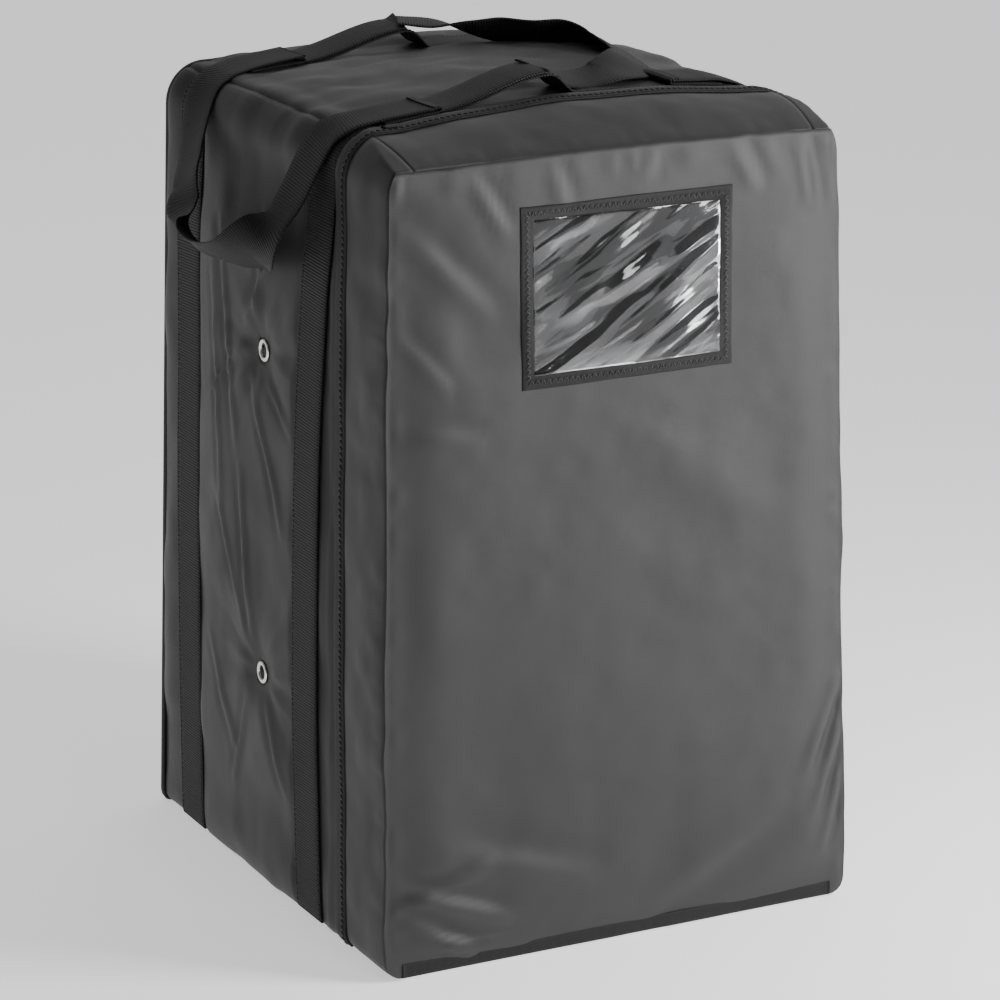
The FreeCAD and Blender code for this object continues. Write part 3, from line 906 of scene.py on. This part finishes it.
def make_back_cloth():
    """The back panel: a rounded sheet that bellies out, drawn in along its bound seam."""
    x, z = rounded_face_grid(body, 130, 84, height - body_inset)
    soft = 40 * MM
    sides = smooth((half_at(z) - body_inset - np.abs(x)) / soft)
    edge = sides * smooth((height - z) / soft) * smooth(z / soft)
    out = edge * (5 * MM + 2 * MM * rumple(x, z, 0.12, 51) + 0.9 * MM * rumple(x, z * 0.7, 0.04, 52))
    out = out + edge * 1.5 * MM * np.abs(rumple(x + z, z - x, 0.07, 53))
    y = leaned((back_y, BACK), z) + out + 0.1 * MM
    rise = dome(x, back_y) * smooth((z - height / 2) / (height / 2)) ** 2
    sheet_piece("back_cloth", np.stack([x, y, z + rise], -1), "nylon", "carrier", cloth_t, "outer_back",
                flip=True)


def make_bottom_cloth():
    """The bottom panel: flat on the floor, with the slight waves of cloth under a board."""
    x_end = half_at(0.0) - foot_r
    x = np.linspace(-x_end, x_end, 60)[:, None]
    y = np.linspace(leaned((mouth_y, FRONT), 0.0), leaned((back_y, BACK), 0.0), 60)[None, :]
    z = 0.25 * MM + 0.2 * MM * rumple(x, y, 0.04, 55)
    points = np.stack(np.broadcast_arrays(x, y, z), -1)
    sheet_piece("bottom_cloth", points, "nylon", "carrier", -0.9 * MM, "outer_bottom",
                flip=True)


def make_flap_cloth():
    """The flap's padded face and the gussets round it."""
    x, z = rounded_face_grid(over_flap, 150, 100, height - front_drop)
    band = 60 * MM
    x = x + seam_wave(z, np.sign(x)) * np.sign(x) * smooth((np.abs(x) - half_at(z) + band) / band)
    arch = 80 * MM
    rise = dome(x, face_y) * smooth((z - (height - arch)) / arch)
    sheet_piece("flap_face_cloth", face_point(x, z + rise, face_swell(x, z)), "nylon", "door", cloth_t,
                "door_face")
    planes = ((face_y, FRONT), (rim_y, FRONT))
    for side, s_range in wall_spans(over_flap).items():
        panel(f"flap_gusset_{side}_cloth", f"door_gusset_{side}", over_flap, s_range, planes, 3.2 * MM,
              gusset_swell, None)


def ring_tape(name, section, y_plane, s_end, out, profile, kind, body_name, node, count):
    """Tape carried round the walls at one cross plane: across is the depth, up is outward."""
    s = np.linspace(-s_end, s_end, count)
    y = leaned(y_plane, section.at(s)[1])
    base = section.point(s, y, out(s, y))
    up = unit(section.point(s, y, out(s, y) + MM) - base)
    piece = carried_piece(name, base, everywhere(BACKWARD, count), up, profile, kind, body_name)
    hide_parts(node)
    return piece


def make_bindings():
    """Binding over the flap's rim, round the back seam and along the flap's bottom edge."""
    def piping_rise(s, y):
        x, _, _, nz = body.at(s)
        return 0.4 * MM + dome(x, y) * np.clip(nz, 0, 1) ** 2

    rim = tape_profile(2 * rim_fold, 2.6 * MM, low=-1.3 * MM, belly=0.3 * MM)
    piece = ring_tape("flap_rim_binding", over_flap, (rim_y - rim_fold, FRONT), over_flap.end - 10 * MM,
                      lambda s, y: rim_wave(s), rim, "binding", None, "door_rim_binding", 560)
    bend_with_flap(piece)
    piping = tape_profile(8 * MM, 2.4 * MM, low=-0.6 * MM, belly=0.5 * MM)
    ring_tape("back_seam_piping", body, (back_y - 4 * MM, BACK), body.end, piping_rise, piping, "binding",
              "carrier", "back_piping", 420)
    count = 120
    low = half_at(flap_low) - foot_r
    x = np.linspace(-low, low, count)
    z = np.full(count, flap_low + 6 * MM)
    base = face_point(x, z, 0.6 * MM + 0.5 * MM * rumple(x, 0 * x, 0.03, 61))
    edge = tape_profile(12 * MM, 1.6 * MM, belly=0.4 * MM)
    across, up = everywhere(UPWARD, count), everywhere(FORWARD, count)
    piece = carried_piece("flap_bottom_binding", base, across, up, edge, "binding", "door")
    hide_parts("door_bottom_binding")


def strap_lift(x):
    """Over the top each strap rises as a tent to a crest left of the middle, then drops in a fold."""
    rise = smooth((x + 108 * MM) / (100 * MM)) ** 1.2
    drop = 1 - smooth((x + 6 * MM) / (24 * MM))
    return 17 * MM * rise * drop


def strap_path(middle, count):
    """Distances, places and directions (across, up) along the underside of a strap."""
    s = np.linspace(-body.end + 12 * MM, body.end - 12 * MM, count)
    y = middle + strap_bow(middle, s)
    x, _, _, nz = body.at(s)
    out = body_base(s, y) + strap_gap + strap_lift(x) * np.clip(nz, 0, 1)
    base = body.point(s, y, out)
    up = unit(body.point(s, y, out + MM) - base)
    along = unit(np.gradient(base, axis=0))
    across = unit(np.cross(up, along))
    return base, across, unit(np.cross(along, across))


def make_straps():
    """The two webbing straps, up the sides and over the top."""
    for which, middle in zip(("front", "back"), strap_ys):
        base, across, up = strap_path(middle, 520)
        profile = tape_profile(webbing_w, webbing_t)
        piece = carried_piece(f"{which}_strap", base, across, up, profile, "webbing", "carrier")
        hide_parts(f"strap_{which}")


def at_x(section, x):
    """Distance s along a section's top and shoulders at place x."""
    upper = np.abs(section.s) <= section.shoulder
    return np.interp(x, section.x[upper], section.s[upper])


def strap_top(x, middle):
    """Height of a strap's upper face where it crosses the top at x."""
    s = at_x(body, x)
    y = middle + strap_bow(middle, s)
    nz = body.at(s)[3]
    out = body_base(s, y) + strap_gap + strap_lift(x) * nz
    return body.point(s, y, out)[..., 2] + webbing_t


# ---------------------------------------------------------------- handles

# Side handle's leg on the strap: (millimetres past the fold, share of the way to the back strap)
side_laid = [(0, 0.0), (24, 0.004), (48, 0.012), (70, 0.030), (90, 0.055)]
# Side handle's loop: (millimetres out from the fold, share of the way to the back strap, millimetres below
# the top, direction of the width)
side_hanging = [
    (109, 0.080, 60, (0, 1, 0)), (125, 0.090, 82, (0.1, 1, -0.1)), (133, 0.150, 99, (0.4, 0.75, 0.3)),
    (134, 0.300, 114, (0.85, 0.1, 0.5)), (129, 0.520, 123, (0.85, -0.1, 0.5)),
    (128, 0.690, 119, (0.5, -0.7, 0.4)), (128, 0.752, 99, (-0.1, -1, 0)), (121, 0.790, 78, (0.1, -1, 0.1)),
    (110, 0.850, 60, (0.1, -1, 0.1)),
]
# Top handle: (millimetres right of the crest, share of the way to the back strap, millimetres above the
# top, direction of the width)
top_handle = [
    (0, 0.000, 28, (0, 1, 0)), (18, 0.035, 19, (0.15, 1, 0.1)), (44, 0.050, 14, (0.12, 1, 0.1)),
    (74, 0.060, 18, (0, 1, 0.15)), (106, 0.150, 17, (-0.4, 0.8, 0.35)), (136, 0.330, 9, (-0.8, 0.3, 0.45)),
    (148, 0.510, 9, (-0.85, -0.2, 0.45)), (141, 0.620, 12, (-0.6, -0.6, 0.5)),
    (121, 0.700, 18, (-0.3, -0.7, 0.6)), (98, 0.770, 19, (-0.2, -0.8, 0.5)),
    (76, 0.840, 20, (-0.15, -0.8, 0.5)), (54, 0.890, 22, (-0.1, -0.9, 0.3)), (28, 0.950, 25, (-0.1, -1, 0)),
    (0, 1.0, 28, (0, -1, 0)),
]


def ribbon(name, centres, widths, body_name, count=220):
    """Webbing along a smooth line, its width turning smoothly along the way and kept square to the line."""
    both = curve_through(np.concatenate([centres, np.asarray(widths, float) * 10 * MM], 1), count)
    path, across = both[:, :3], both[:, 3:]
    along = unit(np.gradient(path, axis=0))
    across = unit(across - along * (across * along).sum(1, keepdims=True))
    up = unit(np.cross(along, across))
    profile = tape_profile(webbing_w, webbing_t, low=-webbing_t / 2, belly=0.6 * MM)
    return carried_piece(name, path, across, up, profile, "webbing", body_name)


def handle_line(rows, start_x, side, sign_z):
    """Centres and width directions of a handle's free part."""
    front, back = strap_ys
    centres = [(side * (start_x + out * MM), front + share * (back - front), height + sign_z * rise * MM)
               for out, share, rise, _ in rows]
    return centres, [(side * w[0], w[1], w[2]) for *_, w in rows]


def laid_line(side, fold, lift):
    """Centres of a side handle's front leg where it lies on the strap, from the fold over the shoulder."""
    front, back = strap_ys
    past, share = np.array(side_laid).T
    s = side * (fold + past * MM)
    y = front + share * (back - front)
    out = body_base(s, y) + webbing_t + lift + 2.6 * MM * (1 - smooth((past - 50) / 20))
    return [tuple(p) for p in body.point(s, y, out)]


def make_handle(name, centres, widths):
    """A handle's webbing, which bends from the fold of its sewn ends to a place further out."""
    piece = ribbon(f"{name}_handle_webbing", np.array(centres), np.array(widths), None)
    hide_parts(f"handle_{name}")
    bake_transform(piece)


def make_handles():
    """The two side handles and the top handle, with their sewn ends."""
    fold = span("handle_ends_right", 0)[0] - 2 * MM
    middle_y = sum(strap_ys) / 2
    for name, side in (("left", -1), ("right", 1)):
        front = laid_line(side, fold, 2.2 * MM)
        back = [(x, 2 * middle_y - y, z) for x, y, z in front][::-1]
        hanging, turned = handle_line(side_hanging, fold, side, -1)
        widths = [BACKWARD] * len(front) + turned + [FORWARD] * len(back)
        make_handle(name, front + hanging + back, widths)
        make_folded_ends(name, side, fold)
    centres, widths = handle_line(top_handle, span("handle_ends_top", 0)[1] - 1 * MM, 1, 1)
    crest = centres[0][0]
    make_handle("top", centres, widths)
    make_top_tails(crest)


def join_meshes(pieces, name):
    """Several meshes as one piece."""
    with bpy.context.temp_override(active_object=pieces[0], selected_editable_objects=pieces):
        bpy.ops.object.join()
    pieces[0].name = name
    return pieces[0]


def make_folded_ends(name, side, fold):
    """A side handle's ends: webbing sewn on each strap that turns back over itself in a round fold."""
    flat_count = 14
    turn = np.linspace(0.3, 2.9, 7)
    inner = fold + 2 * MM
    folded = inner - 3.4 * MM * np.sin(turn)
    x = np.concatenate([np.linspace(150 * MM, inner, flat_count), folded, [fold + 6 * MM]])
    rise = np.concatenate([np.zeros(flat_count), 2.0 * MM * (1 - np.cos(turn)), [4.3 * MM]])
    made = []
    for k, middle in enumerate(strap_ys):
        y = middle + strap_bow(middle, at_x(body, side * x))
        z = strap_top(side * np.maximum(x, fold), middle) + 1.3 * MM + rise
        centres = np.stack([side * x, y, z], 1)
        made.append(ribbon(f"{name}_fold_{k}", centres, everywhere(BACKWARD, len(x)), "carrier", 60))
    piece = join_meshes(made, f"{name}_handle_folded_ends")
    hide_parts(f"handle_ends_{name}")


def make_top_tails(crest):
    """The top handle's ends: a second layer of webbing on each strap, rising with it to the crest."""
    made = []
    x = np.linspace(-112 * MM, crest - 1 * MM, 30)
    for k, middle in enumerate(strap_ys):
        sewn = np.stack([x, np.full_like(x, middle + 1 * MM), strap_top(x, middle) + 1.25 * MM], 1)
        centres = np.concatenate([sewn, [[crest + 3 * MM, middle, height + 27 * MM]]])
        made.append(ribbon(f"tail_{k}", centres, everywhere(BACKWARD, len(centres)), "carrier", 90))
    piece = join_meshes(made, "top_handle_tails")
    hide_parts("handle_ends_top")


# ---------------------------------------------------------------- card window, eyelets, stitching

def window_box():
    """Left, right, lowest and highest place of the window's frame."""
    return (*span("window_frame", 0), *span("window_frame", 2))


def make_window():
    """The window's sewn frame, mitred at its corners, and its slack film, rippled on the slant."""
    x0, x1, z0, z1 = window_box()
    border = span("window_film", 0)[0] - x0
    profile = tape_profile(border, 1.5 * MM, belly=0.5 * MM)
    inward = border / 2 - profile[:, 0]
    corner_x = np.stack([x0 + inward, x1 - inward, x1 - inward, x0 + inward])
    corner_z = np.stack([z0 + inward, z0 + inward, z1 - inward, z1 - inward])
    t = np.linspace(0, 1, 46, endpoint=False)[:, None]
    x = np.concatenate([corner_x[k] * (1 - t) + corner_x[(k + 1) % 4] * t for k in range(4)])
    z = np.concatenate([corner_z[k] * (1 - t) + corner_z[(k + 1) % 4] * t for k in range(4)])
    wobble = 0.5 * MM * rumple(x, z, 0.03, 71)
    rise = 0.3 * MM + profile[None, :, 1] + 0.4 * MM * np.abs(rumple(x, z, 0.02, 72))
    points = face_point(x + wobble, z + wobble, face_swell(x, z) + rise)
    piece = tube_piece("window_frame_tape", points, points.mean(1), profile, "binding", "door", closed=True)
    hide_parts("window_frame")
    inset = border - 2 * MM
    wide, high = x1 - x0 - 2 * inset, z1 - z0 - 2 * inset
    x = np.linspace(x0 + inset, x1 - inset, 120)[:, None]
    z = np.linspace(z0 + inset, z1 - inset, 90)[None, :]
    edge = hump((x - x0 - inset) / wide) * hump((z - z0 - inset) / high)
    a = 0.87 * x + 0.50 * z
    b = 0.87 * z - 0.50 * x
    ripple = 2.6 * MM * rumple(a * 0.35, b, 0.034, 73) + 0.5 * MM * rumple(a * 0.4, b, 0.015, 74)
    out = face_swell(x, z) + 1.9 * MM + 1.6 * MM * edge ** 0.3 + edge ** 0.4 * ripple
    sheet_piece("window_film_sheet", face_point(x, z, out), "film", "door", 0.35 * MM, "window_film")


def make_eyelets():
    """Each eyelet is a rolled flange and a barrel: one round profile turned about its own axis."""
    bore = 5.8 * MM
    wall = 0.8 * MM
    depth = 9 * MM
    turn = np.linspace(0, 2 * np.pi, 48, endpoint=False)
    bend = np.linspace(0, np.pi, 9)
    flange = (eyelet_r + bore) / 2 + (eyelet_r - bore) / 2 * np.cos(bend)
    r = np.concatenate([[bore + wall, bore + wall], flange, [bore, bore]])
    h = np.concatenate([[-depth, 0], 1.3 * MM * np.sin(bend), [-1 * MM, -depth]])
    profile = np.stack([r, h], 1)
    down = body.s > body.shoulder
    y = np.array(eyelet_y)
    for name, side in (("left", -1), ("right", 1)):
        made = []
        for k, z in enumerate(eyelet_zs):
            s = np.array(side * np.interp(-z, -body.z[down], body.s[down]))
            seat = body.point(s, y, body_swell(s, y) + 0.2 * MM)
            _, _, nx, nz = body.at(s)
            out = unit(np.array([float(nx), 0.0, float(nz)]))
            up = np.cross(out, BACKWARD)
            spoke = np.cos(turn)[:, None] * np.array(BACKWARD) + np.sin(turn)[:, None] * up
            points = seat + spoke[:, None] * profile[None, :, :1] + out * profile[None, :, 1:2]
            made.append(tube_piece(f"eyelet_{name}_{k}", points, seat + spoke * eyelet_r, profile, "steel",
                                   "carrier", closed=True))
        piece = join_meshes(made, f"{name}_eyelets_rolled")
        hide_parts(f"eyelets_{name}")


def open_eyelet_holes():
    """Takes the cloth out of each eyelet's bore."""
    hole_r = 6.4 * MM
    for name in ("left_side_cloth", "right_side_cloth"):
        mesh = bpy.data.objects[name].data
        co = np.zeros(len(mesh.vertices) * 3)
        mesh.vertices.foreach_get("co", co)
        co = co.reshape(-1, 3)
        near = np.zeros(len(co), bool)
        for z in eyelet_zs:
            near |= np.hypot(co[:, 1] - eyelet_y, co[:, 2] - z) < hole_r
        made = bmesh.new()
        made.from_mesh(mesh)
        made.verts.ensure_lookup_table()
        bmesh.ops.delete(made, geom=[made.verts[i] for i in np.flatnonzero(near)], context="VERTS")
        made.to_mesh(mesh)
        made.free()


def row_of_stitches(line, up, length, gap):
    """Starts, ends and outward directions of straight stitches along a line of points."""
    gone = steps(line)
    first = np.arange(gap, gone[-1] - length, length + gap)
    starts, ends = at_distance(first, gone, line), at_distance(first + length, gone, line)
    return starts, ends, unit(at_distance(first + length / 2, gone, up))


def zigzag(line, across, up, reach):
    """Starts, ends and outward directions of a zigzag: its corners reach out to either side in turn."""
    pitch = 5.0 * MM
    gone = steps(line)
    d = np.arange(0, gone[-1], pitch / 2)
    sway = np.where(np.arange(len(d)) % 2, reach, -reach)[:, None]
    corner = at_distance(d, gone, line) + at_distance(d, gone, across) * sway
    return corner[:-1], corner[1:], unit(at_distance(d[:-1] + pitch / 4, gone, up))


def sew(name, body_name, rows, thread_r=0.4 * MM):
    """Several rows of stitches as one piece."""
    starts, ends, ups = (np.concatenate([row[k] for row in rows]) for k in range(3))
    return stitch_piece(name, starts, ends, ups, body_name, thread_r)


def sew_rim():
    """A zigzag along the flap's rim binding."""
    s = np.linspace(-over_flap.end + 12 * MM, over_flap.end - 12 * MM, 900)
    y = leaned((rim_y - rim_fold, FRONT), over_flap.at(s)[1])
    base = over_flap.point(s, y, rim_wave(s) + 1.75 * MM)
    up = unit(over_flap.point(s, y, rim_wave(s) + 3 * MM) - base)
    across = everywhere(BACKWARD, len(s))
    piece = sew("rim_zigzag_stitching", None, [zigzag(base - across * 3.5 * MM, across, up, 2.4 * MM)])
    bend_with_flap(piece)


def sew_face_top():
    """A double row of top stitching under the seam at the top of the flap's face."""
    end = half_at(height) - shoulder_r * 0.7
    x = np.linspace(-end, end, 300)
    rows = []
    for drop in (7 * MM, 10 * MM):
        z = height - front_drop - drop + dome(x, face_y) * 0.8
        line = face_point(x, z, face_swell(x, z) + 0.45 * MM)
        rows.append(row_of_stitches(line, everywhere((0.0, -1.0, 0.2), len(x)), 3.2 * MM, 1.2 * MM))
    sew("face_top_stitching", "door", rows)


def sew_straps():
    """A row of stitches along both edges of each strap."""
    rows = []
    for middle in strap_ys:
        base, across, up = strap_path(middle, 700)
        for edge in (-1, 1):
            line = base + across * edge * (webbing_w / 2 - 3 * MM) + up * (webbing_t + 0.15 * MM)
            rows.append(row_of_stitches(line, up, 3.0 * MM, 1.3 * MM))
    sew("strap_stitching", "carrier", rows, 0.24 * MM)


def sew_window():
    """A zigzag round the window's frame."""
    x0, x1, z0, z1 = window_box()
    inset = 5.5 * MM
    count = 60
    left, right, low, high = x0 + inset, x1 - inset, z0 + inset, z1 - inset
    corners = np.array([[left, low], [right, low], [right, high], [left, high], [left, low]])
    t = np.linspace(0, 1, count)[:, None]
    rows = []
    for start, end in zip(corners[:-1], corners[1:]):
        x, z = (start * (1 - t) + end * t).T
        way = unit(end - start)
        line = face_point(x, z, face_swell(x, z) + 2.55 * MM)
        across = everywhere((-way[1], 0.0, way[0]), count)
        rows.append(zigzag(line, across, everywhere(FORWARD, count), 2.2 * MM))
    sew("window_zigzag_stitching", "door", rows)


# ---------------------------------------------------------------- inside

def make_liner():
    """The liner: thin sheets round the cavity, wrinkled towards the inside only."""
    back = span("liner_back", 1)[0] - face_lean
    for side, s_range in wall_spans(cavity).items():
        s, y = lattice(cavity, s_range, (mouth_y, FRONT), (back, BACK), 6 * MM)
        wrinkle = 1.6 * MM * np.abs(rumple(s, y, 0.06, 81)) + 0.5 * MM * np.abs(rumple(s, y, 0.02, 82))
        out = -0.2 * MM - wrinkle
        sheet_piece(f"liner_{side}_sheet", cavity.point(s, y, out), "liner", "carrier", liner_t,
                    f"liner_{side}", flip=True)
    low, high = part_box("liner_bottom")
    x = np.linspace(low.x + 3 * MM, high.x - 3 * MM, 70)[:, None]
    y = np.linspace(low.y + MM, high.y - MM, 80)[None, :]
    z = high.z + 1.0 * MM * np.abs(rumple(x, y, 0.05, 83)) + 0.3 * MM
    points = np.stack(np.broadcast_arrays(x, y, z), -1)
    sheet_piece("liner_bottom_sheet", points, "liner", "carrier", liner_t, "liner_bottom")
    x, z = rounded_face_grid(cavity, 90, 60, height - cavity_inset)
    y = leaned((back, BACK), z) - 1.4 * MM * np.abs(rumple(x, z, 0.06, 84)) - 0.3 * MM
    sheet_piece("liner_back_sheet", np.stack([x, y, z], -1), "liner", "carrier", liner_t, "liner_back")
    inside = Section(3 * MM, flap_low + 2 * MM)
    x, z = rounded_face_grid(inside, 90, 60, height - front_drop - 3 * MM)
    liner_y = span("door_liner", 1)[1] - face_lean
    y = leaned((liner_y, FRONT), z) + 0.1 * MM - 0.5 * MM * np.abs(rumple(x, z, 0.05, 85))
    sheet_piece("flap_liner_sheet", np.stack([x, y, z], -1), "liner", "door", liner_t, "door_liner",
                flip=True)


def make_mouth_binding():
    """Tape over the front edge of the walls, from the outer cloth to the liner, and along the sill."""
    middle = Section((body_inset + cavity_inset) / 2, 9 * MM)
    profile = tape_profile(cavity_inset - body_inset + 2 * MM, 3.0 * MM, low=-1.6 * MM, belly=0.5 * MM)
    s = np.linspace(-middle.end, middle.end, 420)
    y = leaned((mouth_y, FRONT), middle.at(s)[1])
    base = middle.point(s, y, 0 * s)
    across = unit(middle.point(s, y, 0 * s + MM) - base)
    piece = carried_piece("mouth_binding_tape", base, across, everywhere(FORWARD, len(s)), profile,
                          "binding", "carrier")
    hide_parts("mouth_binding")
    count = 120
    sill_z = 9 * MM
    x = np.linspace(-half_at(0) + foot_r, half_at(0) - foot_r, count)
    base = np.stack([x, np.full_like(x, leaned((mouth_y, FRONT), sill_z)), np.full_like(x, sill_z)], 1)
    profile = tape_profile(18 * MM, 3.0 * MM, low=-1.6 * MM, belly=0.5 * MM)
    carried_piece("mouth_sill_tape", base, everywhere(UPWARD, count), everywhere(FORWARD, count), profile,
                  "binding", "carrier")


def make_top_hook_tape():
    """The hook strip inside the flap's top gusset."""
    low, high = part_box("hook_strip_top")
    count = 80
    x = np.linspace(low.x, high.x, count)
    base = np.stack([x, np.full_like(x, (low.y + high.y) / 2), np.full_like(x, low.z)], 1)
    profile = tape_profile(high.y - low.y, high.z - low.z)
    piece = carried_piece("top_hook_tape", base, everywhere(BACKWARD, count), everywhere(UPWARD, count),
                          profile, "hook", None)
    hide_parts("hook_strip_top")
    bend_with_flap(piece)


def make_hinge():
    """The strip that joins the flap's rim to the top, with a step down from the rim to the top."""
    x = np.linspace(*span("hinge_tape", 0), 140)[:, None]
    y = np.linspace(rim_y - 2 * MM, span("hinge_tape", 1)[1], 14)[None, :]
    s = at_x(body, x)
    step = body_inset * smooth((hinge_y + 2 * MM - y) / (6 * MM))
    points = body.point(s, y + 0 * s, body_swell(s, y) + 0.6 * MM + step)
    piece = grid_piece("hinge_strip_cloth", points, "binding", None, 0.8 * MM)
    apply_thickness(piece)
    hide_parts("hinge_tape")
    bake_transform(piece)


def dress_cad_pieces():
    """Finishes of the CAD pieces that are shown as they are, and the filling of the foam boards."""
    foams = ["door_foam"] + [f"foam_{wall}" for wall in ("top", "bottom", "left", "right", "back")]
    kinds = {"eyelet_washers_left": "steel", "eyelet_washers_right": "steel", "base_board": "board",
             **{foam: "foam" for foam in foams},
             "loop_strip_top": "loop", "hook_strip_left": "hook", "loop_strip_left": "loop",
             "hook_strip_right": "hook", "loop_strip_right": "loop"}
    for node, kind in kinds.items():
        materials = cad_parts[node].data.materials
        materials.clear()
        materials.append(finish[kind])


# ---------------------------------------------------------------- making it all

add_camera()
make_floor()
add_lights()
make_body_cloth()
make_flap_cloth()
make_bindings()
make_straps()
make_handles()
make_window()
make_eyelets()
open_eyelet_holes()
sew_rim()
sew_face_top()
sew_straps()
sew_window()
make_liner()
make_mouth_binding()
make_hinge()
make_top_hook_tape()
dress_cad_pieces()
